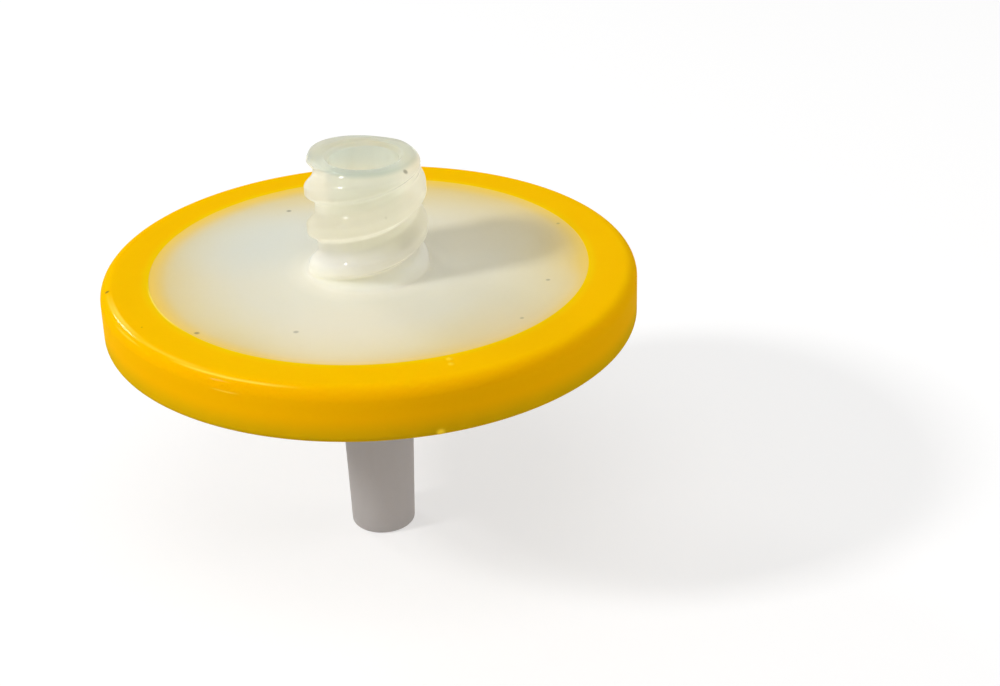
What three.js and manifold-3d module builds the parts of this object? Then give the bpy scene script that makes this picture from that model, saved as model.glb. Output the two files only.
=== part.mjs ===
// Syringe filter: two moulded plastic halves clamp a membrane disc between them, and a ring moulded round their
// flanges holds them together for good. The inlet half carries a female lock hub with a double-start thread.
// The outlet half carries a male slip tip, and its inside is a grid of support rings crossed by drain channels.
//
// Millimetres, +Z up. The origin is the centre of the outlet tip's end face, on which the filter can stand.
import * as THREE from "three";
import { mergeVertices } from "three/addons/utils/BufferGeometryUtils.js";
import Module from "manifold-3d";

const wasm = await Module();
wasm.setup();

// ---- Driving dimensions ----

const segments = 60; // facets round the axis, the same on every turned form so that they nest
const seam = 0.02; // between any two pieces that touch

// The membrane and the room above and below it.
const membraneDiameter = 25;
const membraneThickness = 0.2;
const inletRoom = 0.3; // free height above the membrane
const drainDepth = 0.4; // depth of the drain channels below the membrane
const clampWidth = 0.8; // how far in from its edge the membrane is clamped
const clampRelief = 0.15; // the clamp bead stops this short of the membrane's edge

// The two plates and the rims where they meet.
const inletPlateThickness = 1.1;
const outletPlateThickness = 1.1;
const rimClearance = 0.1; // between the membrane's edge and the locating rim
const rimWidth = 0.7; // locating rim round the membrane, on the outlet half
const rimHeight = 0.6;
const flangeWidth = 1.7; // flange outside the rim, which the ring grips

// The ring moulded round the flanges.
const ringWall = 1.48; // outside the flanges
const ringLip = 0.8; // above the upper flange and below the lower one
const ringLipReach = 1.5; // how far each lip reaches in over the flange
const windowRecess = 0.15; // the plates lie this far inside the ring's two faces
const ringTopRound = 0.8; // outer edges of the ring
const ringBottomRound = 0.45;
const ringWindowRound = 0.12; // edges of the two windows

// The inlet hub: a conical socket inside, for the tip of a syringe, and a lock thread outside.
const hubHeight = 7.3; // above the inlet plate
const hubRootRadius = 3.12; // between the threads
const hubBaseRound = 0.9; // hollow fillet where the hub meets the plate
const socketMouthRadius = 2.14;
const coneTaper = 0.03; // loss of radius for each millimetre, 6% on the diameter
const socketDepth = 7.6;
const socketChamfer = 0.25;
const inletHoleRadius = 1;

// Its double-start thread.
const threadStarts = 2;
const threadLead = 5;
const threadHeight = 0.58; // crest above root
const threadFlankAbove = 1.15; // axial width of the long flank, on the mouth's side of the crest
const threadFlankBelow = 0.6; // axial width of the steep flank that bears on the syringe's collar
const threadMouthRound = 0.65; // outer corner of the mouth, cut across the thread
const threadAngle = 165.6; // where the first crest rises out of the plate, in degrees from +X
const threadPoints = 7; // across one thread's section

// The outlet: boss, collar and a male slip tip with the same cone as the socket.
const bossRadius = 5;
const bossRim = 0.5; // straight height of the boss before it slopes in to the collar
const bossHeight = 2;
const collarRadius = 3.1;
const collarLength = 3.6;
const collarRound = 0.3;
const tipLength = 9.6;
const tipEndRadius = 2.03;
const tipEndRound = 0.22;
const outletBoreRadius = 1.1;
const outletHoleRadius = 0.75;

// The support grid under the membrane and the flow ribs over it.
const supportRings = 5;
const supportRingWidth = 0.8;
const supportHubRadius = 1.9; // inner radius of the innermost support ring
const drainChannels = 8;
const drainWidth = 0.9;
const flowRibs = 8;
const flowRibWidth = 0.5;
const flowRibHeight = 0.2;
const flowRibClearance = 0.8; // between a rib's ends and the inlet hole or the clamp bead
const rootOverlap = 0.15; // how deep an added form is sunk in the wall that carries it

// ---- Places that follow from them ----

const membraneRadius = membraneDiameter / 2;
const chamberRadius = membraneRadius - clampWidth;
const rimInnerRadius = membraneRadius + rimClearance;
const rimOuterRadius = rimInnerRadius + rimWidth;
const flangeRadius = rimOuterRadius + flangeWidth;
const ringRadius = flangeRadius + seam + ringWall;
const windowRadius = flangeRadius + seam - ringLipReach;

const outletPlateUnderside = tipLength + collarLength + bossHeight;
const drainFloor = outletPlateUnderside + outletPlateThickness;
const partingPlane = drainFloor + drainDepth; // the outlet half's land, the tops of its rings and its flange
const membraneUnderside = partingPlane + seam;
const membraneTop = membraneUnderside + membraneThickness;
const inletCeiling = membraneTop + inletRoom;
const inletPlateTop = inletCeiling + inletPlateThickness;
const rimTop = partingPlane + rimHeight;
const ringUnderside = outletPlateUnderside - windowRecess;
const ringTop = inletPlateTop + windowRecess;
const lowerFlangeUnderside = ringUnderside + ringLip + seam;
const upperFlangeTop = ringTop - ringLip - seam;
const hubTop = inletPlateTop + hubHeight;
const socketFloor = hubTop - socketDepth;
const tipRootRadius = tipEndRadius + coneTaper * tipLength;

// ---- Helpers ----

// Points [radius, z] on an arc about a centre, from one angle to another in degrees, counterclockwise if to > from.
function arc(radius, z, round, from, to, steps = 4) {
  return Array.from({ length: steps + 1 }, (_, i) => {
    const a = THREE.MathUtils.degToRad(from + ((to - from) * i) / steps);
    return [radius + round * Math.cos(a), z + round * Math.sin(a)];
  });
}

// A closed outline of [radius, z] points turned about Z. The outline runs counterclockwise in the (radius, z) plane.
function turned(outline, facets = segments) {
  const closed = [...outline, outline[0]].map(([r, z]) => new THREE.Vector2(r, z));
  return new THREE.LatheGeometry(closed, facets).rotateX(Math.PI / 2);
}

function tube(innerRadius, outerRadius, bottom, top, facets = segments) {
  return turned(
    [
      [innerRadius, bottom],
      [outerRadius, bottom],
      [outerRadius, top],
      [innerRadius, top],
    ],
    facets,
  );
}

function bar(length, width, bottom, top) {
  return new THREE.BoxGeometry(length, width, top - bottom).translate(0, 0, (bottom + top) / 2);
}

function solid(geometry) {
  const plain = new THREE.BufferGeometry();
  plain.setAttribute("position", geometry.getAttribute("position"));
  if (geometry.index) plain.setIndex(geometry.index);
  const merged = mergeVertices(plain, 1e-5);
  return new wasm.Manifold(
    new wasm.Mesh({
      numProp: 3,
      vertProperties: new Float32Array(merged.attributes.position.array),
      triVerts: new Uint32Array(merged.index.array),
    }),
  );
}

function geometryOf(manifold) {
  const { vertProperties, triVerts } = manifold.getMesh();
  const geometry = new THREE.BufferGeometry();
  geometry.setAttribute("position", new THREE.BufferAttribute(vertProperties, 3));
  geometry.setIndex(new THREE.BufferAttribute(triVerts, 1));
  return geometry;
}

// ---- Overmoulded ring ----

// A C-shaped section: a wall outside the flanges, and a lip over each of them that stops at the window.
function ringGeometry() {
  const channelRadius = flangeRadius + seam;
  return turned([
    ...arc(windowRadius + ringWindowRound, ringUnderside + ringWindowRound, ringWindowRound, 180, 270, 2),
    ...arc(ringRadius - ringBottomRound, ringUnderside + ringBottomRound, ringBottomRound, 270, 360),
    ...arc(ringRadius - ringTopRound, ringTop - ringTopRound, ringTopRound, 0, 90),
    ...arc(windowRadius + ringWindowRound, ringTop - ringWindowRound, ringWindowRound, 90, 180, 2),
    [windowRadius, ringTop - ringLip],
    [channelRadius, ringTop - ringLip],
    [channelRadius, ringUnderside + ringLip],
    [windowRadius, ringUnderside + ringLip],
  ]);
}

// ---- Inlet half ----

function inletBody() {
  const plugRadius = windowRadius - seam; // the raised middle of the plate, inside the ring's window
  return turned([
    [inletHoleRadius, inletCeiling],
    [chamberRadius, inletCeiling],
    [chamberRadius, membraneTop + seam],
    [membraneRadius - clampRelief, membraneTop + seam],
    [membraneRadius - clampRelief, rimTop + seam],
    [rimOuterRadius + seam, rimTop + seam],
    [rimOuterRadius + seam, partingPlane + seam],
    [flangeRadius, partingPlane + seam],
    [flangeRadius, upperFlangeTop],
    [plugRadius, upperFlangeTop],
    [plugRadius, inletPlateTop],
    ...arc(hubRootRadius + hubBaseRound, inletPlateTop + hubBaseRound, hubBaseRound, 270, 180),
    [hubRootRadius, hubTop],
    [socketMouthRadius + socketChamfer, hubTop],
    [socketMouthRadius, hubTop - socketChamfer],
    [socketMouthRadius - coneTaper * socketDepth, socketFloor],
    [inletHoleRadius, socketFloor],
  ]);
}

// One start of the thread: a rounded ridge carried up a right-handed helix and closed by a flat face at each end.
// Each flank of its section is a quarter of a cosine. Its crest meets the inlet plate at startAngle, in degrees
// from +X.
function threadRidge(startAngle) {
  const sunkRadius = hubRootRadius - rootOverlap;
  const climb = threadFlankAbove + hubHeight + threadFlankBelow;
  const stations = Math.ceil((climb / threadLead) * segments);
  const section = Array.from({ length: threadPoints }, (_, i) => {
    const across = (2 * i) / (threadPoints - 1) - 1;
    const flank = across < 0 ? threadFlankBelow : threadFlankAbove;
    return [across * flank, hubRootRadius + threadHeight * Math.cos((across * Math.PI) / 2)];
  });
  const corners = threadPoints + 2; // the section, and two corners sunk in the hub's wall
  const positions = [];
  for (let i = 0; i <= stations; i++) {
    const rise = (climb * i) / stations - threadFlankAbove;
    const angle = THREE.MathUtils.degToRad(startAngle) + (rise / threadLead) * 2 * Math.PI;
    const crest = inletPlateTop + rise;
    const place = (radius, z) => positions.push(radius * Math.cos(angle), radius * Math.sin(angle), z);
    place(sunkRadius, crest - threadFlankBelow);
    for (const [up, radius] of section) place(radius, crest + up);
    place(sunkRadius, crest + threadFlankAbove);
  }
  const faces = [];
  for (let i = 0; i < stations; i++) {
    for (let j = 0; j < corners; j++) {
      const a = i * corners + j;
      const b = i * corners + ((j + 1) % corners);
      faces.push(a, a + corners, b, b, a + corners, b + corners);
    }
  }
  const last = stations * corners;
  for (let j = 1; j < corners - 1; j++) {
    faces.push(0, j, j + 1, last, last + j + 1, last + j);
  }
  const geometry = new THREE.BufferGeometry();
  geometry.setAttribute("position", new THREE.Float32BufferAttribute(positions, 3));
  geometry.setIndex(faces);
  return geometry;
}

// All the starts, cut off just under the top of the plate and, with a round corner, level with the mouth.
function thread() {
  const envelope = turned([
    [hubRootRadius / 2, inletPlateTop - rootOverlap],
    [hubRootRadius + threadMouthRound, inletPlateTop - rootOverlap],
    ...arc(hubRootRadius, hubTop - threadMouthRound, threadMouthRound, 0, 90),
    [hubRootRadius / 2, hubTop],
  ]);
  const starts = Array.from({ length: threadStarts }, (_, i) =>
    solid(threadRidge(threadAngle + (360 * i) / threadStarts)),
  );
  return starts.reduce((a, b) => a.add(b)).intersect(solid(envelope));
}

// Low radial ribs on the ceiling, which keep the membrane off it and spread the flow.
function flowRib(index) {
  const inner = inletHoleRadius + flowRibClearance;
  const outer = chamberRadius - flowRibClearance;
  return bar(outer - inner, flowRibWidth, inletCeiling - flowRibHeight, inletCeiling + rootOverlap)
    .translate((inner + outer) / 2, 0, 0)
    .rotateZ((2 * Math.PI * (index + 0.5)) / flowRibs);
}

function inletGeometry() {
  let housing = solid(inletBody()).add(thread());
  for (let i = 0; i < flowRibs; i++) housing = housing.add(solid(flowRib(i)));
  return geometryOf(housing);
}

// ---- Outlet half ----

function outletBody() {
  const plugRadius = windowRadius - seam;
  const collarTop = tipLength + collarLength;
  return turned([
    [outletHoleRadius, collarTop],
    [outletBoreRadius, collarTop],
    [outletBoreRadius, 0],
    ...arc(tipEndRadius - tipEndRound, tipEndRound, tipEndRound, 270, 360, 3),
    [tipRootRadius, tipLength],
    ...arc(collarRadius - collarRound, tipLength + collarRound, collarRound, 270, 360, 2),
    [collarRadius, collarTop],
    [bossRadius, outletPlateUnderside - bossRim],
    [bossRadius, outletPlateUnderside],
    [plugRadius, outletPlateUnderside],
    [plugRadius, lowerFlangeUnderside],
    [flangeRadius, lowerFlangeUnderside],
    [flangeRadius, partingPlane],
    [rimOuterRadius, partingPlane],
    [rimOuterRadius, rimTop],
    [rimInnerRadius, rimTop],
    [rimInnerRadius, partingPlane],
    [chamberRadius, partingPlane],
    [chamberRadius, drainFloor],
    [outletHoleRadius, drainFloor],
  ]);
}

// Concentric rings that carry the membrane, evenly spaced and cut through by radial drain channels.
function supportGrid() {
  const pitch = (chamberRadius - supportHubRadius) / supportRings;
  const ringFacets = Math.round(segments * 0.8);
  const bottom = drainFloor - rootOverlap;
  let grid = solid(tube(supportHubRadius, supportHubRadius + supportRingWidth, bottom, partingPlane, ringFacets));
  for (let i = 1; i < supportRings; i++) {
    const inner = supportHubRadius + i * pitch;
    grid = grid.add(solid(tube(inner, inner + supportRingWidth, bottom, partingPlane, ringFacets)));
  }
  for (let i = 0; i < drainChannels / 2; i++) {
    const channel = bar(2 * chamberRadius, drainWidth, drainFloor, partingPlane + 1);
    grid = grid.subtract(solid(channel.rotateZ((2 * Math.PI * i) / drainChannels)));
  }
  return grid;
}

function outletGeometry() {
  return geometryOf(solid(outletBody()).add(supportGrid()));
}

// ---- Assembly ----

function piece(name, geometry, color, roughness) {
  const mesh = new THREE.Mesh(geometry, new THREE.MeshStandardMaterial({ color, roughness, metalness: 0 }));
  mesh.name = name;
  return mesh;
}

const membrane = new THREE.CylinderGeometry(membraneRadius, membraneRadius, membraneThickness, segments)
  .rotateX(Math.PI / 2)
  .translate(0, 0, (membraneUnderside + membraneTop) / 2);

const syringeFilter = new THREE.Group();
syringeFilter.add(
  piece("inlet_housing", inletGeometry(), 0xe2e0d2, 0.35),
  piece("outlet_housing", outletGeometry(), 0xb4b2ac, 0.4),
  piece("filter_membrane", membrane, 0xf4f3ee, 0.9),
  piece("overmould_ring", ringGeometry(), 0xf6b800, 0.38),
);

export default syringeFilter;
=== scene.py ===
import math

import bpy
import numpy as np
from mathutils import Matrix, Vector


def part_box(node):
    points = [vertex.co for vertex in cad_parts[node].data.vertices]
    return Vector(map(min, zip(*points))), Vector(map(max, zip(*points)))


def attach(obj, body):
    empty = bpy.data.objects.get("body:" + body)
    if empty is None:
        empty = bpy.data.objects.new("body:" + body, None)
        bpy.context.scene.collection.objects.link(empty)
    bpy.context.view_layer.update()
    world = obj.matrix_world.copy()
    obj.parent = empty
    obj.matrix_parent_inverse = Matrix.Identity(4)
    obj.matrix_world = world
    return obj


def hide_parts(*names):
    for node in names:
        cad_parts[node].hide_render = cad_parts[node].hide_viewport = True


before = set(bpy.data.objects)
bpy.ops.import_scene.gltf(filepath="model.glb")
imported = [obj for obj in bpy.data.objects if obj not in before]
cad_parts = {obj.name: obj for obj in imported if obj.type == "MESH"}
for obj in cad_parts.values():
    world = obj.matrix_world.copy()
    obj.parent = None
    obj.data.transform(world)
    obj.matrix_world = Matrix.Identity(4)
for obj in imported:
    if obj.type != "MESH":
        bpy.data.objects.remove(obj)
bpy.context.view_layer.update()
millimetre = 0.001
tiny = 1e-6

# All lengths below are in millimetres, and heights are above the outlet tip's end.
plateTopHeight = 18.32
ringLow, ringHigh = (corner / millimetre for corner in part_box("overmould_ring"))
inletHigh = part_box("inlet_housing")[1] / millimetre
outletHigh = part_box("outlet_housing")[1] / millimetre
flangeRadius = inletHigh.x

cameraSettings = {
    "lens": 72.0,
    "sensor": 36.0,
    "distance": 123.86,  # from the centre of the ring's top face
    "elevation": 24.68,
    "turn": 3.60,  # how far the view is turned right of that centre
    "dip": -2.49,
    "roll": -1.42,
    "clip": (5.0, 10000.0),
}

lightSettings = {
    "room": 0.40,  # even light from all round
    "key": {"azimuth": 197, "elevation": 37, "distance": 500, "size": 70, "share": 0.54},
    "rear": {"azimuth": 130, "elevation": 28, "distance": 600, "size": 110, "share": 0.14},
    "side": {"azimuth": 0, "elevation": 14, "distance": 600, "size": 420, "share": 0.23},
    "overhead": {"azimuth": 270, "elevation": 65, "distance": 600, "size": 420, "share": 0.22},
}

# seen is the floor's tone to the camera, bounce its tone for the light it throws back at the part
floorSettings = {
    "radius": 1500.0,
    "drop": 0.02,  # how far it lies below the tip's end
    "seen": 1.09,
    "bounce": 0.74,
    "warmth": (1.0, 0.99, 0.985),  # the tint of its warmer patches
    "dapple": 0.02,
    "whiteness": 0.53,  # how much plain white is mixed in
    "fade": (120.0, 500.0),  # where it turns wholly white
}


def placeCamera(settings):
    # The camera looks at the ring's centre from the front, and is then turned, dipped and rolled a little.
    elevation, turn, dip, roll = (
        math.radians(settings[name]) for name in ("elevation", "turn", "dip", "roll")
    )
    upright = Vector((0, 0, 1))
    forward = Vector((0, math.cos(elevation), -math.sin(elevation)))
    position = Vector((0, 0, ringHigh.z)) - forward * settings["distance"]
    right = forward.cross(upright).normalized()
    raised = right.cross(forward)
    forward = (
        forward * math.cos(turn) * math.cos(dip)
        + right * math.sin(turn) * math.cos(dip)
        + raised * math.sin(dip)
    )
    right = forward.cross(upright).normalized()
    raised = right.cross(forward)
    sideways = right * math.cos(roll) + raised * math.sin(roll)
    upwards = -right * math.sin(roll) + raised * math.cos(roll)
    data = bpy.data.cameras.new("viewCamera")
    data.sensor_width = settings["sensor"]
    data.lens = settings["lens"]
    data.clip_start, data.clip_end = (reach * millimetre for reach in settings["clip"])
    camera = bpy.data.objects.new("viewCamera", data)
    turned = Matrix((sideways, upwards, -forward)).transposed()
    camera.matrix_world = Matrix.Translation(position * millimetre) @ turned.to_4x4()
    bpy.context.collection.objects.link(camera)
    bpy.context.scene.camera = camera


def placeLight(name, azimuth, elevation, distance, size, share):
    # A square soft box. Its share is what it gives a surface that faces it, where 1 shows a colour
    # as it is written.
    data = bpy.data.lights.new(name, "AREA")
    data.shape = "SQUARE"
    data.size = size * millimetre
    data.energy = share * (math.pi * distance * millimetre) ** 2
    light = bpy.data.objects.new(name, data)
    across, up = math.radians(azimuth), math.radians(elevation)
    aim = Vector((math.cos(across) * math.cos(up), math.sin(across) * math.cos(up), math.sin(up)))
    target = Vector((0, 0, ringHigh.z))
    light.location = (target + aim * distance) * millimetre
    light.rotation_mode = "QUATERNION"
    light.rotation_quaternion = aim.to_track_quat("Z", "Y")
    bpy.context.collection.objects.link(light)


class Wire:
    # One output of a material's nodes. Arithmetic on it adds Math nodes.
    def __init__(self, paint, socket):
        self.paint, self.socket = paint, socket

    def __add__(self, other):
        return self.paint.math("ADD", self, other)

    def __sub__(self, other):
        return self.paint.math("SUBTRACT", self, other)

    def __rsub__(self, other):
        return self.paint.math("SUBTRACT", other, self)

    def __mul__(self, other):
        return self.paint.math("MULTIPLY", self, other)

    def __truediv__(self, other):
        return self.paint.math("DIVIDE", self, other)

    __radd__ = __add__
    __rmul__ = __mul__


class Paint:
    # A material under construction, or the world's.
    def __init__(self, name, world=None):
        self.material = world or bpy.data.materials.new(name)
        self.material.use_nodes = True
        self.tree = self.material.node_tree
        self.tree.nodes.clear()

    def node(self, kind, settings=None, inputs=None, output=0):
        made = self.tree.nodes.new(kind)
        for name, value in (settings or {}).items():
            if name == "stops":
                self.fillRamp(made.color_ramp, value)
            else:
                setattr(made, name, value)
        for name, value in (inputs or {}).items():
            if isinstance(value, Wire):
                self.tree.links.new(value.socket, made.inputs[name])
            else:
                made.inputs[name].default_value = value
        return Wire(self, made.outputs[output]) if made.outputs else made

    def fillRamp(self, ramp, stops):
        while len(ramp.elements) < len(stops):
            ramp.elements.new(1.0)
        for element, (place, colour) in zip(ramp.elements, stops):
            element.position, element.color = place, colour

    def math(self, operation, first, second=0.0):
        return self.node("ShaderNodeMath", {"operation": operation}, {0: first, 1: second})

    def vector(self, operation, first, second=None, scale=None):
        inputs = {0: first}
        if second is not None:
            inputs[1] = second
        if scale is not None:
            inputs["Scale"] = scale
        measure = operation in ("LENGTH", "DISTANCE", "DOT_PRODUCT")
        return self.node("ShaderNodeVectorMath", {"operation": operation}, inputs, 1 if measure else 0)

    def step(self, value, low, high):
        # 0 below low, 1 above high and a smooth rise between; a fall where low is the larger.
        settings = {"interpolation_type": "SMOOTHSTEP"}
        return self.node("ShaderNodeMapRange", settings, {0: value, 1: low, 2: high, 3: 0.0, 4: 1.0})

    def blend(self, factor, first, second, kind="MIX"):
        settings = {"data_type": "RGBA", "blend_type": kind}
        return self.node("ShaderNodeMix", settings, {0: factor, 6: first, 7: second}, 2)

    def noise(self, place, scale, detail=2.0, roughness=0.5):
        inputs = {"Vector": place, "Scale": scale, "Detail": detail, "Roughness": roughness}
        return self.node("ShaderNodeTexNoise", None, inputs)

    def place(self):
        # Where a point lies on the part, in millimetres.
        spot = self.node("ShaderNodeTexCoord", output=3)
        return self.vector("SCALE", spot, scale=1 / millimetre)

    def away(self, place):
        # The distance from the part's axis.
        return self.vector("LENGTH", self.vector("MULTIPLY", place, (1.0, 1.0, 0.0)))

    def height(self, place):
        return self.node("ShaderNodeSeparateXYZ", None, {0: place}, 2)

    def specks(self, place, specks):
        # Small marks: 1 within each one's radius, fading out over the same distance again.
        total = 0.0
        for x, y, z, size, depth in specks:
            away = self.vector("DISTANCE", place, (x, y, z))
            total = total + self.step(away, size * 1.6, size * 0.5) * depth
        return self.math("MINIMUM", total, 1.0)

    def seen(self):
        # 1 for what the camera, a reflection or a clear material sees, 0 for light thrown onto the part.
        rays = [self.node("ShaderNodeLightPath", output=name)
                for name in ("Is Camera Ray", "Is Glossy Ray", "Is Transmission Ray")]
        return self.math("MINIMUM", rays[0] + rays[1] + rays[2], 1.0)

    def bump(self, height, strength, distance):
        inputs = {"Height": height, "Strength": strength, "Distance": distance * millimetre}
        return self.node("ShaderNodeBump", None, inputs)

    def shader(self, inputs):
        return self.node("ShaderNodeBsdfPrincipled", None, inputs)

    def mixed(self, factor, first, second):
        return self.node("ShaderNodeMixShader", None, {0: factor, 1: first, 2: second})

    def finish(self, shader):
        self.node("ShaderNodeOutputMaterial", None, {"Surface": shader})
        return self.material


def tone(red, green, blue):
    # A screen colour, 0 to 255, as the linear colour that a shader takes.
    def linear(value):
        value /= 255
        return value / 12.92 if value <= 0.04045 else ((value + 0.055) / 1.055) ** 2.4

    return (linear(red), linear(green), linear(blue), 1.0)


ringFinish = {
    "face": (247, 187, 0),
    "inner": (245, 198, 4),  # a little paler beside the window: a painted highlight along that edge
    # The wall and its foot are painted darker than the face, as painted shade on the side and under the
    # ring.
    "wall": (242, 176, 0),
    "foot": (198, 160, 6),
    "dust": (96, 70, 30),
    "innerFrom": (14.2, 13.5),  # distances from the axis over which each tone comes in
    "sideFrom": (15.9, 16.45),
    "footFrom": 16.8,  # height below which the wall turns to the foot's tone
    "clouding": 0.15,
    "specks": [(-15.9, -2.0, 18.42, 0.13, 0.7), (-13.4, -7.2, 18.45, 0.05, 0.5)],
    "pale": (255, 220, 60),  # the painted highlights' colour, on marks and edges where they catch the light
    # painted highlights on two flow marks on top, and on a nub of flash low on the wall: x, y, height,
    # radius, strength
    "markHighlights": [
        (4.15, -13.42, 18.5, 0.17, 0.5),
        (4.21, -14.03, 18.5, 0.16, 0.45),
        (3.43, -16.2, 15.35, 0.22, 0.6),
    ],
    # fine painted highlight lines round the edges, which also get more clear gloss: x, y, height, reach,
    # half width, strength
    "highlightLines": [
        (-8.1, -13.9, 18.35, 3.0, 0.06, 0.8),
        (-11.6, -11.1, 18.42, 2.4, 0.05, 0.25),
        (-14.9, -6.0, 18.40, 2.8, 0.05, 0.35),
        (-14.3, -7.8, 18.24, 1.2, 0.06, 0.35),
        (-8.4, -14.15, 17.66, 0.7, 0.07, 0.5),
        (-12.6, -4.9, 18.47, 2.6, 0.08, 0.9),
    ],
    "outerEdge": (15.7, 15.85),  # the painted highlight lines show only outside the one and inside the other
    "innerEdge": (13.66, 13.56),
    "roughness": 0.42,
    "gloss": (0.02, 0.7),  # clear gloss all over, and along the highlight lines
}


def ringPaint():
    paint = Paint("ringPlastic")
    place = paint.place()
    away, height = paint.away(place), paint.height(place)
    cloud = paint.noise(place, 0.5, 2.0)
    grain = paint.noise(place, 3.0, 2.0, 0.6)
    names = ("face", "inner", "wall", "foot", "pale", "dust")
    face, inner, wall, foot, pale, dust = (tone(*ringFinish[name]) for name in names)
    # Painted highlight: the band beside the window is paler, as where that edge catches the light.
    colour = paint.blend(paint.step(away, *ringFinish["innerFrom"]), face, inner)
    # Painted shade: the wall is darker than the face, and darker still at its foot, under the ring.
    side = paint.blend(paint.step(height, ringFinish["footFrom"], ringLow.z), wall, foot)
    colour = paint.blend(paint.step(away, *ringFinish["sideFrom"]), colour, side)
    colour = paint.blend(paint.step(cloud, 0.3, 0.7) * ringFinish["clouding"], colour, wall)
    # Painted highlights: the flow marks, the nub and the lines along the edges are painted pale where they
    # catch the light.
    markShine = paint.specks(place, ringFinish["markHighlights"])
    highlightLines = 0.0
    for x, y, z, reach, wide, strength in ringFinish["highlightLines"]:
        aside = paint.math("ABSOLUTE", height - z)
        highlightLines = highlightLines + paint.specks(place, [(x, y, z, reach, strength)]) * paint.step(aside, wide, 0.0)
    outer, within = (paint.step(away, *ringFinish[name]) for name in ("outerEdge", "innerEdge"))
    highlightLines = highlightLines * paint.math("MAXIMUM", outer, within)
    colour = paint.blend(paint.math("MINIMUM", markShine + highlightLines, 1.0), colour, pale)
    colour = paint.blend(paint.specks(place, ringFinish["specks"]), colour, dust)
    scuffs = paint.noise(paint.vector("MULTIPLY", place, (1.0, 1.0, 5.0)), 0.9, 3.0, 0.6)
    gloss, lineGloss = ringFinish["gloss"]
    return paint.finish(paint.shader({
        "Base Color": colour,
        "Roughness": ringFinish["roughness"] + (scuffs - 0.5) * 0.16 + (grain - 0.5) * 0.06,
        "Normal": paint.bump(grain + scuffs, 0.15, 0.02),
        "Specular IOR Level": 0.0,
        "Coat Weight": gloss + highlightLines * lineGloss,
        "Coat Roughness": 0.05,
        "Coat IOR": 1.5,
        "Subsurface Weight": 0.25,
        "Subsurface Radius": (0.9, 0.4, 0.05),
        "Subsurface Scale": 0.5 * millimetre,
    }))


milkFinish = {
    # colour against distance from the axis, in millimetres; it is painted paler near the hub's foot, as
    # painted light in the shade there, and yellower towards the ring, as painted yellow light that the
    # ring throws and scatters into the plate
    "plate": [
        (0.0, (254, 248, 229)),
        (3.4, (252, 246, 226)),
        (4.1, (237, 231, 209)),
        (5.2, (226, 221, 199)),
        (8.0, (223, 216, 190)),
        (9.5, (223, 212, 177)),
        (11.0, (223, 206, 157)),
        (12.0, (223, 200, 136)),
        (12.7, (224, 195, 116)),
        (13.1, (228, 196, 105)),
        (13.5, (228, 194, 88)),
        (16.0, (228, 190, 80)),
    ],
    "waver": 0.8,  # how far those distances wander
    "warmSide": (0.035, 0.025),  # how much sooner the plate yellows towards +X and +Y
    "rim": (12.0, 13.2),  # where the plate's scattering ends
    "rimGlow": (242, 197, 26),  # the ring's colour, painted along the plate's edge as the yellow light that the ring throws and scatters into it
    "rimReach": (12.3, 14.3),  # distances over which it comes in
    "rimSide": (-0.02, 0.03),  # how much sooner it comes in towards +X and +Y
    "rimWaver": 0.4,
    # soft patches of painted light and shade on the plate, such as a cool painted sheen at the back left,
    # a painted pool of light at the front and painted shade to the right of the hub: x, y, how far each
    # reaches, colour, strength
    "paintedLightPatches": [
        (-7.0, 5.0, 9.0, (206, 213, 205), 0.6),
        (-1.5, -10.0, 8.0, (248, 232, 203), 0.45),
        (9.0, -6.0, 8.0, (218, 208, 174), 0.5),
        (8.0, 4.0, 8.0, (214, 202, 168), 0.5),
        (13.5, 1.0, 5.0, (204, 178, 105), 0.4),
        (8.0, -10.8, 6.5, (228, 206, 160), 0.5),
    ],
    "hubBase": (255, 252, 240),
    "hubMouth": (246, 243, 226),
    # painted shade: a darker greenish grey inside the socket, carried over the mouth's top
    "socket": (190, 203, 194),
    "socketFrom": (2.9, 2.2),  # distances from the axis over which its tone comes in
    "lipDepth": 0.3,  # and how far down from the mouth it reaches on the outside
    "glow": (253, 250, 240),  # light that comes through the hub's walls
    "glowShare": (0.7, 0.15),  # low on the hub, and at its mouth
    # heights above the plate over which the hub's colour, its gloss and its clearer plastic come in
    "hubRise": (0.02, 2.0),
    "glossRise": (0.02, 0.7),
    "clearRise": (-0.05, 3.4),
    "mouthRise": 2.5,  # where the mouth's tone begins
    "glowFall": 3.5,  # and where the glow starts to weaken
    "gloss": 0.6,
    "mottle": 0.06,
    "dust": (92, 88, 66),
    "specks": [
        (-5.08, 9.17, 18.32, 0.14, 0.6),
        (-10.17, -8.32, 18.45, 0.14, 0.6),
        (-4.46, -8.65, 18.32, 0.14, 0.45),
        (10.71, -3.54, 18.33, 0.12, 0.45),
        (8.66, -8.62, 18.39, 0.11, 0.4),
        (12.2, 4.58, 18.44, 0.10, 0.35),
        (2.43, -2.35, 25.36, 0.14, 0.9),
        (1.12, -3.46, 22.93, 0.08, 0.4),
    ],
    "roughness": 0.5,
}


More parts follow.
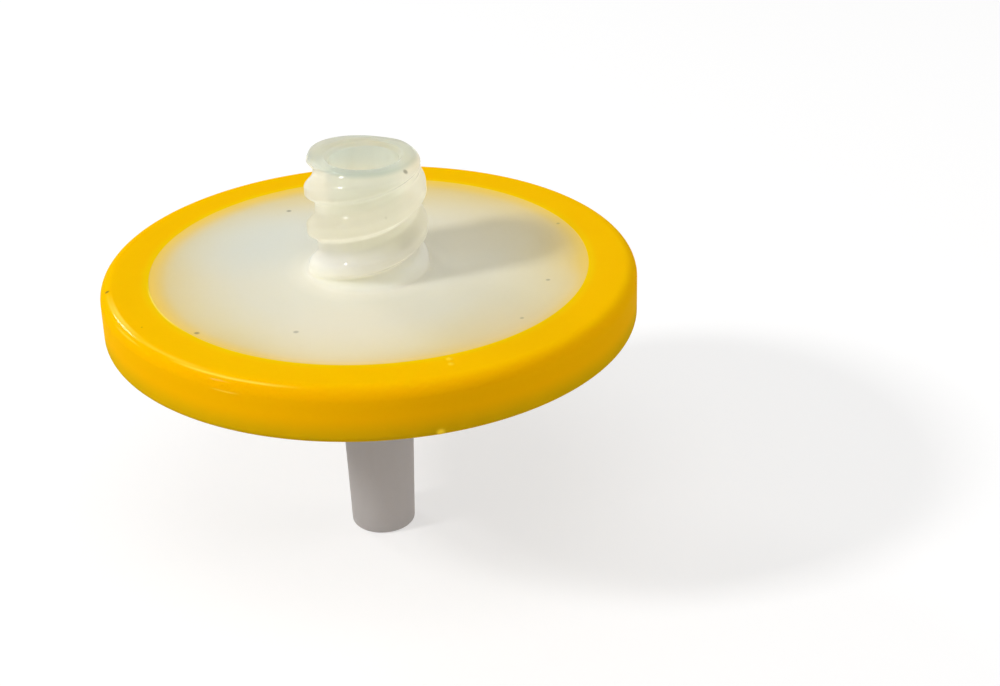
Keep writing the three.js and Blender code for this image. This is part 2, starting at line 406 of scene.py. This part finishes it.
def milkPaint():
    paint = Paint("milkyPlastic")
    place = paint.place()
    away, height = paint.away(place), paint.height(place)
    cloud = paint.noise(place, 0.16, 2.0)
    grain = paint.noise(place, 3.0, 2.0, 0.6)
    # Painted light: the ramp is paler at the hub's foot and yellows towards the ring.
    reach = milkFinish["plate"][-1][0]
    stops = [(radius / reach, tone(*colour)) for radius, colour in milkFinish["plate"]]
    lean = paint.vector("DOT_PRODUCT", place, (*milkFinish["warmSide"], 0.0))
    wavering = away + lean + (cloud - 0.5) * milkFinish["waver"]
    plate = paint.node("ShaderNodeValToRGB", {"stops": stops}, {0: wavering / reach})
    # Painted light and shade, in soft patches.
    for x, y, size, colour, strength in milkFinish["paintedLightPatches"]:
        apart = paint.vector("DISTANCE", place, (x, y, plateTopHeight)) + cloud * 2.0
        plate = paint.blend(paint.step(apart, size, size * 0.2) * strength, plate, tone(*colour))
    # Painted light: the ring's yellow along the plate's edge.
    rimLean = paint.vector("DOT_PRODUCT", place, (*milkFinish["rimSide"], 0.0))
    nearing = away + rimLean + (cloud - 0.5) * milkFinish["rimWaver"]
    nearRing = paint.step(nearing, *milkFinish["rimReach"])
    plate = paint.blend(nearRing, plate, tone(*milkFinish["rimGlow"]))
    rise = paint.step(height, plateTopHeight + milkFinish["mouthRise"], inletHigh.z - 0.4)
    hub = paint.blend(rise, tone(*milkFinish["hubBase"]), tone(*milkFinish["hubMouth"]))
    # Painted shade: the socket, and the mouth's top, are a darker greenish grey.
    inward = paint.step(away, *milkFinish["socketFrom"])
    atMouth = paint.step(height, inletHigh.z - milkFinish["lipDepth"], inletHigh.z)
    hub = paint.blend(paint.math("MAXIMUM", inward, atMouth), hub, tone(*milkFinish["socket"]))
    onHub, glossy, clearing = (
        paint.step(height, *(plateTopHeight + above for above in milkFinish[name]))
        for name in ("hubRise", "glossRise", "clearRise")
    )
    colour = paint.blend(onHub, plate, hub)
    mottling = paint.blend(grain, (0.62, 0.62, 0.56, 1), (0.9, 0.9, 0.86, 1))
    colour = paint.blend(milkFinish["mottle"], colour, mottling)
    marks = paint.specks(place, milkFinish["specks"])
    colour = paint.blend(marks, colour, tone(*milkFinish["dust"]))
    look = {
        "Base Color": colour,
        "Roughness": milkFinish["roughness"] + (cloud - 0.5) * 0.12 + (grain - 0.5) * 0.06,
        "Normal": paint.bump(grain * 0.5 + paint.noise(place, 1.1, 2.0), 0.15, 0.02),
        "Coat Weight": glossy * milkFinish["gloss"],
        "Coat Roughness": 0.06,
        "Coat IOR": 1.4,
    }
    solid = paint.shader(look | {
        "Specular IOR Level": 0.3,
        "Subsurface Weight": 0.8,
        "Subsurface Radius": (1.0, 0.95, 0.85),
        "Subsurface Scale": 2.6 * millimetre,
    })
    # Close to the ring the plate doesn't scatter, or the dark under the ring would show along its edge.
    rim = paint.shader(look | {"Specular IOR Level": 0.1})
    cloudy = paint.shader(look | {
        "IOR": 1.15,
        "Transmission Weight": 0.7,
        "Subsurface Weight": 1.0,
        "Subsurface Radius": (1.0, 0.97, 0.9),
        "Subsurface Scale": 2.5 * millimetre,
    })
    glow = paint.node("ShaderNodeBsdfTranslucent", None, {"Color": tone(*milkFinish["glow"])})
    most, least = milkFinish["glowShare"]
    fading = paint.step(height, plateTopHeight + milkFinish["glowFall"], inletHigh.z)
    milky = paint.mixed(most - fading * (most - least), cloudy, glow)
    solid = paint.mixed(paint.step(away, *milkFinish["rim"]), solid, rim)
    return paint.finish(paint.mixed(clearing, solid, milky))


outletFinish = {
    # The outlet half is painted grey rather than cream, and a little darker at the tip: painted shade
    # under the disc.
    "tip": (220, 217, 214),
    "plate": (226, 221, 210),
    "glow": (217, 213, 211),  # light that comes through the walls
    "glowShare": 0.62,
    "mottle": 0.1,
    "roughness": 0.45,
}


def outletPaint():
    paint = Paint("outletPlastic")
    place = paint.place()
    height = paint.height(place)
    cloud = paint.noise(place, 0.6, 3.0)
    grain = paint.noise(place, 8.0, 3.0, 0.6)
    # Painted shade: the plastic greys towards the tip.
    rise = paint.step(height + (cloud - 0.5) * 2.0, outletHigh.z * 0.6, outletHigh.z)
    colour = paint.blend(rise, tone(*outletFinish["tip"]), tone(*outletFinish["plate"]))
    mottling = paint.blend(grain, (0.3, 0.3, 0.3, 1), (0.6, 0.6, 0.58, 1))
    colour = paint.blend(outletFinish["mottle"], colour, mottling)
    streaks = paint.noise(paint.vector("MULTIPLY", place, (2.0, 2.0, 0.3)), 1.6, 3.0)
    solid = paint.shader({
        "Base Color": colour,
        "Roughness": outletFinish["roughness"] + (streaks - 0.5) * 0.16,
        "Normal": paint.bump(grain + streaks, 0.2, 0.02),
        "Specular IOR Level": 0.2,
        "Subsurface Weight": 0.9,
        "Subsurface Radius": (1.0, 1.0, 0.95),
        "Subsurface Scale": 1.5 * millimetre,
    })
    glow = paint.node("ShaderNodeBsdfTranslucent", None, {"Color": tone(*outletFinish["glow"])})
    return paint.finish(paint.mixed(outletFinish["glowShare"], solid, glow))


membraneFinish = {
    "pore": (222, 222, 216),
    "face": (250, 250, 246),
    "fibre": (232, 228, 214),
    "fibreShare": 0.25,
    "roughness": 0.85,
}


def membranePaint():
    paint = Paint("membraneSheet")
    place = paint.place()
    pores = paint.noise(place, 26.0, 4.0, 0.7)
    fibres = paint.noise(place, 3.0, 5.0, 0.7)
    pore, face, fibre = (tone(*membraneFinish[name]) for name in ("pore", "face", "fibre"))
    threads = paint.step(fibres, 0.35, 0.7) * membraneFinish["fibreShare"]
    colour = paint.blend(threads, paint.blend(pores, pore, face), fibre)
    return paint.finish(paint.shader({
        "Base Color": colour,
        "Roughness": membraneFinish["roughness"] + (pores - 0.5) * 0.2,
        "Normal": paint.bump(pores + fibres, 0.6, 0.03),
        "Specular IOR Level": 0.2,
    }))


def floorPaint(settings):
    # A pale matt floor. To the camera and in reflections it is paler, and partly plain white,
    # wholly so far off.
    paint = Paint("paleFloor")
    place = paint.place()
    dapple = paint.noise(place, settings["dapple"])
    seen = paint.seen()
    pale, dull = ((settings[name],) * 3 + (1.0,) for name in ("seen", "bounce"))
    warm = (*(settings["seen"] * share for share in settings["warmth"]), 1.0)
    colour = paint.blend(seen, dull, paint.blend(dapple, pale, warm))
    matt = paint.node("ShaderNodeBsdfDiffuse", None, {"Color": colour})
    white = paint.node("ShaderNodeEmission", None, {"Color": (1, 1, 1, 1), "Strength": 1.0})
    far = paint.step(paint.vector("LENGTH", place), *settings["fade"])
    whiteness = settings["whiteness"] + far * (1 - settings["whiteness"])
    return paint.finish(paint.mixed(seen * whiteness, matt, white))


def roomPaint(world, strength):
    # Even light from all round, which the camera and reflections see as plain white.
    paint = Paint("paleRoom", world)
    light = strength + paint.seen() * (1 - strength)
    room = paint.node("ShaderNodeBackground", None, {"Color": (1, 1, 1, 1), "Strength": light})
    paint.node("ShaderNodeOutputWorld", None, {"Surface": room})


tightRound = 0.1  # below this an arc gets fewer points
hiddenRound = 0.05  # of the edges inside the part


def roundedOutline(corners, spacing, arcPoints):
    # Each corner (radius, height, rounding) becomes an arc that touches both its sides, with fewer points
    # where it is tight. The straight stretches between are divided evenly, and a long one gets one more
    # point close to each arc.
    corners = np.array(corners, float)
    points, rounds = corners[:, :2], corners[:, 2:3]
    before, after = np.roll(points, 1, 0) - points, np.roll(points, -1, 0) - points
    before /= np.linalg.norm(before, axis=1, keepdims=True)
    after /= np.linalg.norm(after, axis=1, keepdims=True)
    half = np.arccos(np.clip((before * after).sum(1, keepdims=True), -1, 1)) / 2
    bisector = (before + after) / np.linalg.norm(before + after, axis=1, keepdims=True)
    centres = points + bisector * rounds / np.sin(half)
    starts = points + before * rounds / np.tan(half)
    ends = points + after * rounds / np.tan(half)
    share = np.linspace(0, 1, arcPoints)[None, :, None]
    sweep = (np.pi / 2 - half)[:, :, None] * (2 * share - 1)
    chords = ends - starts
    across = chords / np.maximum(np.linalg.norm(chords, axis=1, keepdims=True), 1e-12)
    arcs = centres[:, None] + rounds[:, None] * (
        -bisector[:, None] * np.cos(sweep) + across[:, None] * np.sin(sweep)
    )
    stretches = []
    bends = rounds[:, 0]
    nextBends, nextStarts = np.roll(bends, -1), np.roll(starts, -1, 0)
    for arc, bend, nextBend, end, start in zip(arcs, bends, nextBends, ends, nextStarts):
        length = np.linalg.norm(start - end)
        along = np.linspace(0, 1, max(1, math.ceil(length / spacing)) + 1)[1:-1]
        if length > tightRound * 3:
            near = tightRound / 2 / length
            first, last = [near] if bend > 0 else [], [1 - near] if nextBend > 0 else []
            along = np.concatenate([first, along, last])
        arc = arc[::3] if bend < tightRound else arc
        stretches += [arc if bend > 0 else arc[:1], end + (start - end) * along[:, None]]
    return np.concatenate(stretches)


def turnedGrid(radius, height, angle):
    # Rows run along the outline and columns round the axis: x = r cos a, y = r sin a, z = h.
    radius, height, angle = np.broadcast_arrays(radius, height, angle)
    return np.stack([radius * np.cos(angle), radius * np.sin(angle), height], -1)


def spokeDistance(angle, count):
    # About how far a point at radius 1 lies from the nearest of evenly spaced spokes.
    return np.abs(np.sin(angle * count / 2)) * 2 / count


def closedSurface(name, grid, material, node):
    # A grid whose rows and columns both close on themselves, as one smooth mesh of four-sided faces.
    rows, columns = grid.shape[:2]
    here = np.arange(rows * columns).reshape(rows, columns)
    beside, above = np.roll(here, -1, 1), np.roll(here, -1, 0)
    faces = np.stack([here, beside, np.roll(beside, -1, 0), above], -1).reshape(-1)
    mesh = bpy.data.meshes.new(name)
    mesh.vertices.add(rows * columns)
    mesh.vertices.foreach_set("co", (grid.reshape(-1) * millimetre).astype(np.float32))
    mesh.loops.add(len(faces))
    mesh.loops.foreach_set("vertex_index", faces)
    mesh.polygons.add(len(faces) // 4)
    mesh.polygons.foreach_set("loop_start", np.arange(0, len(faces), 4))
    mesh.update(calc_edges=True)
    mesh.validate()
    mesh.shade_smooth()
    mesh.materials.append(material)
    piece = bpy.data.objects.new(name, mesh)
    bpy.context.collection.objects.link(piece)
    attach(piece, "root")
    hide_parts(node)
    print("made", name, rows, "by", columns)
    return piece


ringShape = {
    "window": 13.51,
    "lip": 0.8,
    "channel": 15.02,
    "topRound": 0.8,
    "bottomRound": 0.45,
    "edgeRound": 0.015,
    "spacing": 0.15,
    "arcPoints": 13,
    "columns": (400, 90),  # round most of the ring, and in the finely ruled stretch with its marks
    "finely": (-82.0, -68.0),
    "wallDepth": 0.4,  # how far out from the channel the wall's own swellings begin
    # a nub of flash: azimuth, height, how far it stands out, width round and up
    "nub": (-78.0, 15.32, 0.13, 0.24, 0.14),
    # raised flow marks on the top face: azimuth, radius, height, width round and along
    "marks": [(-72.8, 14.05, 0.06, 0.13, 0.20), (-73.3, 14.65, 0.05, 0.14, 0.16)],
    # a short ripple low on the rounded edge: azimuth, height, depth, width round and up
    "ripple": (-123.0, 17.62, 0.035, 0.30, 0.07),
}


def makeRing(shape):
    # A C-shaped outline turned about the axis, with small swellings: a nub of flash, two flow marks and a
    # ripple, each a bell curve of the distance from its centre.
    outer, low, high = ringHigh.x, ringLow.z, ringHigh.z
    inner, channel, lip, edge = shape["window"], shape["channel"], shape["lip"], shape["edgeRound"]
    outline = roundedOutline([
        (inner, low, edge),
        (outer, low, shape["bottomRound"]),
        (outer, high, shape["topRound"]),
        (inner, high, edge),
        (inner, high - lip, hiddenRound),
        (channel, high - lip, hiddenRound),
        (channel, low + lip, hiddenRound),
        (inner, low + lip, hiddenRound),
    ], shape["spacing"], shape["arcPoints"])
    radius, height = outline[:, :1], outline[:, 1:]
    whole, fine = shape["columns"]
    start, end = shape["finely"]
    angle = np.concatenate([
        np.linspace(start, end, fine, endpoint=False),
        np.linspace(end, start + 360, whole, endpoint=False),
    ])[None]

    def bell(azimuth, distance, acrossWidth, other, middle, otherWidth):
        around = np.radians((angle - azimuth + 180) % 360 - 180) * distance
        return np.exp(-((around / acrossWidth) ** 2) - ((other - middle) / otherWidth) ** 2)

    onWall, onTop = radius > channel + shape["wallDepth"], height > high - 0.01
    azimuth, level, swell, wide, tall = shape["nub"]
    grownRadius = radius + swell * bell(azimuth, outer, wide, height, level, tall) * onWall
    azimuth, level, depth, wide, tall = shape["ripple"]
    grownRadius = grownRadius - depth * bell(azimuth, outer, wide, height, level, tall) * onWall
    grownHeight = height + 0 * angle
    for azimuth, middle, swell, wide, long in shape["marks"]:
        grownHeight += swell * bell(azimuth, middle, wide, radius, middle, long) * onTop
    return turnedGrid(grownRadius, grownHeight, np.radians(angle))


hubShape = {
    "columns": 336,
    "rootRadius": 3.12,
    "baseRound": 0.9,
    "lead": 5.0,
    "starts": 2,
    "crest": 0.61,
    "flankAbove": 1.2,
    "flankBelow": 0.84,
    "flankGrowth": 0.5,  # how much longer the lower flank gets towards the mouth
    "crestShare": 0.2,  # how much of each flank is flat crest
    "startAngle": 165.6,
    "mouthRound": 0.8,
    "mouthCurve": 1.5,  # how sharply it curves in
    "slack": 0.05,  # how far it stands clear of the crests below
    "lip": (3.05, 0.87, 116.0, 54.0),  # radius at the mouth; swell, azimuth and spread of its ear
    "shoulder": (0.0, 24.75, 0.30, 45.0, 0.5),  # azimuth, height, swell, spread round (degrees) and up
    "rows": (110, 18),  # along the wall, and in the rounding at its mouth
    "socketMouth": 2.14,
    "chamfer": 0.25,
    "cone": 0.03,
    "socketDepth": 7.6,
    "hole": 1.0,
    "soften": 0.2,
}

inletShape = {
    "ceiling": 17.22,
    "seat": 16.94,
    "grooveTop": 17.32,
    "parting": 16.72,
    "flangeTop": 17.65,
    "chamber": 11.7,
    "groove": (12.35, 13.32),
    "plug": 13.56,  # just under the ring's edge, since the two are moulded together
    "rimRise": 0.145,  # the face climbs to the ring all round
    "rimReach": 2.5,
    "rimSweep": 20.0,
    "rimEdge": 0.02,
    "mouthEdge": 0.06,
    "socketEnd": 0.1,
    "spacing": 0.6,
    "arcPoints": 10,
    "ribs": 8,
    "ribWidth": 0.5,
    "ribHeight": 0.2,
    "ribReach": (1.8, 10.9),
}


def softMaximum(a, b, soften):
    # The larger of the two, with the corner between them rounded.
    return (a + b + np.sqrt((a - b) ** 2 + soften ** 2)) / 2


def threadRadius(radius, height, angle, hub):
    # The distance above the nearest crest of the helix gives the ridge. It has a flat crest and falls by
    # 3t^2 - 2t^3 on each flank, and the lower flank lengthens towards the mouth. A bell-shaped shoulder
    # fills the last groove on one side. The cube root of a sum of cubes, which is close to the largest,
    # joins them to the base's rounding. A cone with a curved side, swollen to an ear on one side, cuts
    # them at the mouth.
    def around(azimuth):
        return (np.degrees(angle) - azimuth + 180) % 360 - 180

    root, pitch = hub["rootRadius"], hub["lead"] / hub["starts"]
    turns = (angle - math.radians(hub["startAngle"])) / (2 * np.pi)
    climb = (height - plateTopHeight) - hub["lead"] * turns
    offset = climb - np.round(climb / pitch) * pitch
    nearMouth = np.clip((height - inletHigh.z) / pitch + 1, 0, 1)
    flankBelow = hub["flankBelow"] * (1 + hub["flankGrowth"] * nearMouth)
    flank = np.where(offset < 0, flankBelow, hub["flankAbove"])
    fall = np.clip((np.abs(offset) / flank - hub["crestShare"]) / (1 - hub["crestShare"]), 0, 1)
    ridge = hub["crest"] * (1 - fall ** 2 * (3 - 2 * fall))
    azimuth, level, swell, wide, tall = hub["shoulder"]
    shoulder = swell * np.exp(-((around(azimuth) / wide) ** 2) - ((height - level) / tall) ** 2)
    threaded = root + np.cbrt((radius - root) ** 3 + ridge ** 3 + shoulder ** 3)
    upMouth = np.clip((height - (inletHigh.z - hub["mouthRound"])) / hub["mouthRound"], 0, 1)
    middle, swell, azimuth, wide = hub["lip"]
    lip = middle + swell * np.exp(-((around(azimuth) / wide) ** 2))
    limit = lip + (root + hub["crest"] + hub["slack"] - lip) * (1 - upMouth ** hub["mouthCurve"])
    return -softMaximum(-threaded, -limit, hub["soften"] / 2)


def makeInlet(shape, hub):
    # One closed outline turned about the axis. The hub's wall is then pushed out by its thread, and the
    # ceiling over the membrane is let down in eight straight ribs.
    mouth, wall = hub["socketMouth"], hub["rootRadius"]
    grooveInner, grooveOuter = shape["groove"]
    base = [
        (hub["hole"], shape["ceiling"], hiddenRound),
        (shape["chamber"], shape["ceiling"], hiddenRound),
        (shape["chamber"], shape["seat"], hiddenRound),
        (grooveInner, shape["seat"], hiddenRound),
        (grooveInner, shape["grooveTop"], hiddenRound),
        (grooveOuter, shape["grooveTop"], hiddenRound),
        (grooveOuter, shape["parting"], hiddenRound),
        (flangeRadius, shape["parting"], hiddenRound),
        (flangeRadius, shape["flangeTop"], hiddenRound),
        (shape["plug"], shape["flangeTop"], hiddenRound),
        (shape["plug"], plateTopHeight + shape["rimRise"], shape["rimEdge"]),
        (shape["plug"] - shape["rimReach"], plateTopHeight, shape["rimSweep"]),
        (wall, plateTopHeight, hub["baseRound"]),
        (wall, inletHigh.z, 0.0),
        (mouth + hub["chamfer"], inletHigh.z, shape["mouthEdge"]),
        (mouth, inletHigh.z - hub["chamfer"], shape["mouthEdge"]),
        (mouth - hub["cone"] * hub["socketDepth"], inletHigh.z - hub["socketDepth"], shape["socketEnd"]),
        (hub["hole"], inletHigh.z - hub["socketDepth"], hiddenRound),
    ]
    outline = roundedOutline(base, shape["spacing"], shape["arcPoints"])
    # The hub's wall is ruled more finely than the rest, and finest of all near its mouth.
    onWall = (np.abs(outline[:, 0] - wall) < tiny) & (outline[:, 1] > plateTopHeight)
    first, last = np.flatnonzero(onWall)[[0, -1]]
    rows, mouthRows = hub["rows"]
    mouthStart = inletHigh.z - hub["mouthRound"]
    even = np.linspace(outline[first, 1], mouthStart, rows, endpoint=False)
    crowded = inletHigh.z - hub["mouthRound"] * (1 - np.sin(np.linspace(0, np.pi / 2, mouthRows)))
    ruled = np.concatenate([even, crowded])
    ruledWall = np.stack([np.full(len(ruled), wall), ruled], -1)
    outline = np.concatenate([outline[:first], ruledWall, outline[last + 1:]])
    radius, height = outline[:, :1], outline[:, 1:]
    angle = np.linspace(0, 2 * np.pi, hub["columns"], endpoint=False)[None]
    onHub = (radius > wall - tiny) & (radius < wall + hub["baseRound"]) & (height > plateTopHeight + tiny)
    grown = np.where(onHub, threadRadius(radius, height, angle, hub), radius)
    inner, outer = shape["ribReach"]
    rib = (np.abs(height - shape["ceiling"]) < tiny) & (radius > inner) & (radius < outer)
    rib = rib & (spokeDistance(angle, shape["ribs"]) * radius < shape["ribWidth"] / 2)
    return turnedGrid(grown, np.where(rib, height - shape["ribHeight"], height), angle)


outletShape = {
    "columns": 288,
    "tipLength": 9.6,
    "tipEnd": 2.03,
    "tipRound": 0.24,
    "cone": 0.03,
    "collar": 3.1,
    "collarLength": 3.6,
    "boss": 5.0,
    "bossRim": 0.5,
    "bore": 1.1,
    "hole": 0.75,
    "underside": 15.2,
    "floor": 16.3,
    "parting": 16.7,
    "rimTop": 17.3,
    "rim": (12.6, 13.3),
    "flangeUnder": 15.87,
    "plug": 13.5,
    "chamber": 11.7,
    "firstRing": 1.9,
    "rings": 5,
    "ringWidth": 0.8,
    "channels": 8,
    "channelWidth": 0.9,
    "channelRise": 0.02,  # the share of the rings' height that is left in a channel
    "boreRound": 0.08,
    "tipFoot": 0.12,
    "collarRounds": (0.3, 0.25),  # below and above
    "bossRound": 0.2,
    "plugRound": 0.06,
    "ringRounds": (0.04, 0.06),  # at the floor and on top
    "spacing": 0.5,
    "arcPoints": 7,
}


def makeOutlet(shape):
    # One closed outline turned about the axis, from the bore out over the tip, collar, boss and plate and
    # back over the support rings. Where a drain channel crosses the rings, their tops are let down to the
    # channel's floor.
    collarTop = shape["tipLength"] + shape["collarLength"]
    collarLow, collarHigh = shape["collarRounds"]
    bossRound, (atFloor, onTop) = shape["bossRound"], shape["ringRounds"]
    rimInner, rimOuter = shape["rim"]
    pitch = (shape["chamber"] - shape["firstRing"]) / shape["rings"]
    rings = []
    for index in reversed(range(shape["rings"])):
        inner = shape["firstRing"] + index * pitch
        outer = inner + shape["ringWidth"]
        rings += [(outer, shape["floor"], atFloor), (outer, shape["parting"], onTop),
                  (inner, shape["parting"], onTop), (inner, shape["floor"], atFloor)]
    outline = roundedOutline([
        (shape["bore"], 0.0, shape["boreRound"]),
        (shape["tipEnd"], 0.0, shape["tipRound"]),
        (shape["tipEnd"] + shape["cone"] * shape["tipLength"], shape["tipLength"], shape["tipFoot"]),
        (shape["collar"], shape["tipLength"], collarLow),
        (shape["collar"], collarTop, collarHigh),
        (shape["boss"], shape["underside"] - shape["bossRim"], bossRound),
        (shape["boss"], shape["underside"], bossRound),
        (shape["plug"], shape["underside"], shape["plugRound"]),
        (shape["plug"], shape["flangeUnder"], hiddenRound),
        (flangeRadius, shape["flangeUnder"], hiddenRound),
        (flangeRadius, shape["parting"], hiddenRound),
        (rimOuter, shape["parting"], hiddenRound),
        (rimOuter, shape["rimTop"], hiddenRound),
        (rimInner, shape["rimTop"], hiddenRound),
        (rimInner, shape["parting"], hiddenRound),
        (shape["chamber"], shape["parting"], hiddenRound),
        (shape["chamber"], shape["floor"], hiddenRound),
        *rings,
        (shape["hole"], shape["floor"], hiddenRound),
        (shape["hole"], collarTop, hiddenRound),
        (shape["bore"], collarTop, hiddenRound),
    ], shape["spacing"], shape["arcPoints"])
    radius, height = outline[:, :1], outline[:, 1:]
    angle = np.linspace(0, 2 * np.pi, shape["columns"], endpoint=False)[None]
    onRings = (radius > shape["firstRing"] - 0.1) & (radius < shape["chamber"] - 0.5)
    inChannel = spokeDistance(angle, shape["channels"]) * radius < shape["channelWidth"] / 2
    cut = onRings & inChannel & (height > shape["floor"] + tiny)
    lowered = shape["floor"] + (height - shape["floor"]) * shape["channelRise"]
    return turnedGrid(radius, np.where(cut, lowered, height), angle)


bpy.context.scene.view_settings.view_transform = "Standard"
placeCamera(cameraSettings)
for lightName in ("key", "rear", "side", "overhead"):
    placeLight(lightName + "Light", **lightSettings[lightName])

bpy.context.scene.world = bpy.data.worlds.new("paleRoom")
roomPaint(bpy.context.scene.world, lightSettings["room"])

floorMesh = bpy.data.meshes.new("floor")
floorReach = floorSettings["radius"] * millimetre
floorCorners = [(across * floorReach, along * floorReach, 0)
                for across, along in ((-1, -1), (1, -1), (1, 1), (-1, 1))]
floorMesh.from_pydata(floorCorners, [], [(0, 1, 2, 3)])
floorMesh.materials.append(floorPaint(floorSettings))
floor = bpy.data.objects.new("floor", floorMesh)
floor.location.z = -floorSettings["drop"] * millimetre
bpy.context.collection.objects.link(floor)
print("camera, lights and floor are set")

closedSurface("ringShell", makeRing(ringShape), ringPaint(), "overmould_ring")
closedSurface("inletHalf", makeInlet(inletShape, hubShape), milkPaint(), "inlet_housing")
closedSurface("outletHalf", makeOutlet(outletShape), outletPaint(), "outlet_housing")

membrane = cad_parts["filter_membrane"]
sheet = membranePaint()
for slot in membrane.material_slots:
    slot.material = sheet
print("membrane is painted")
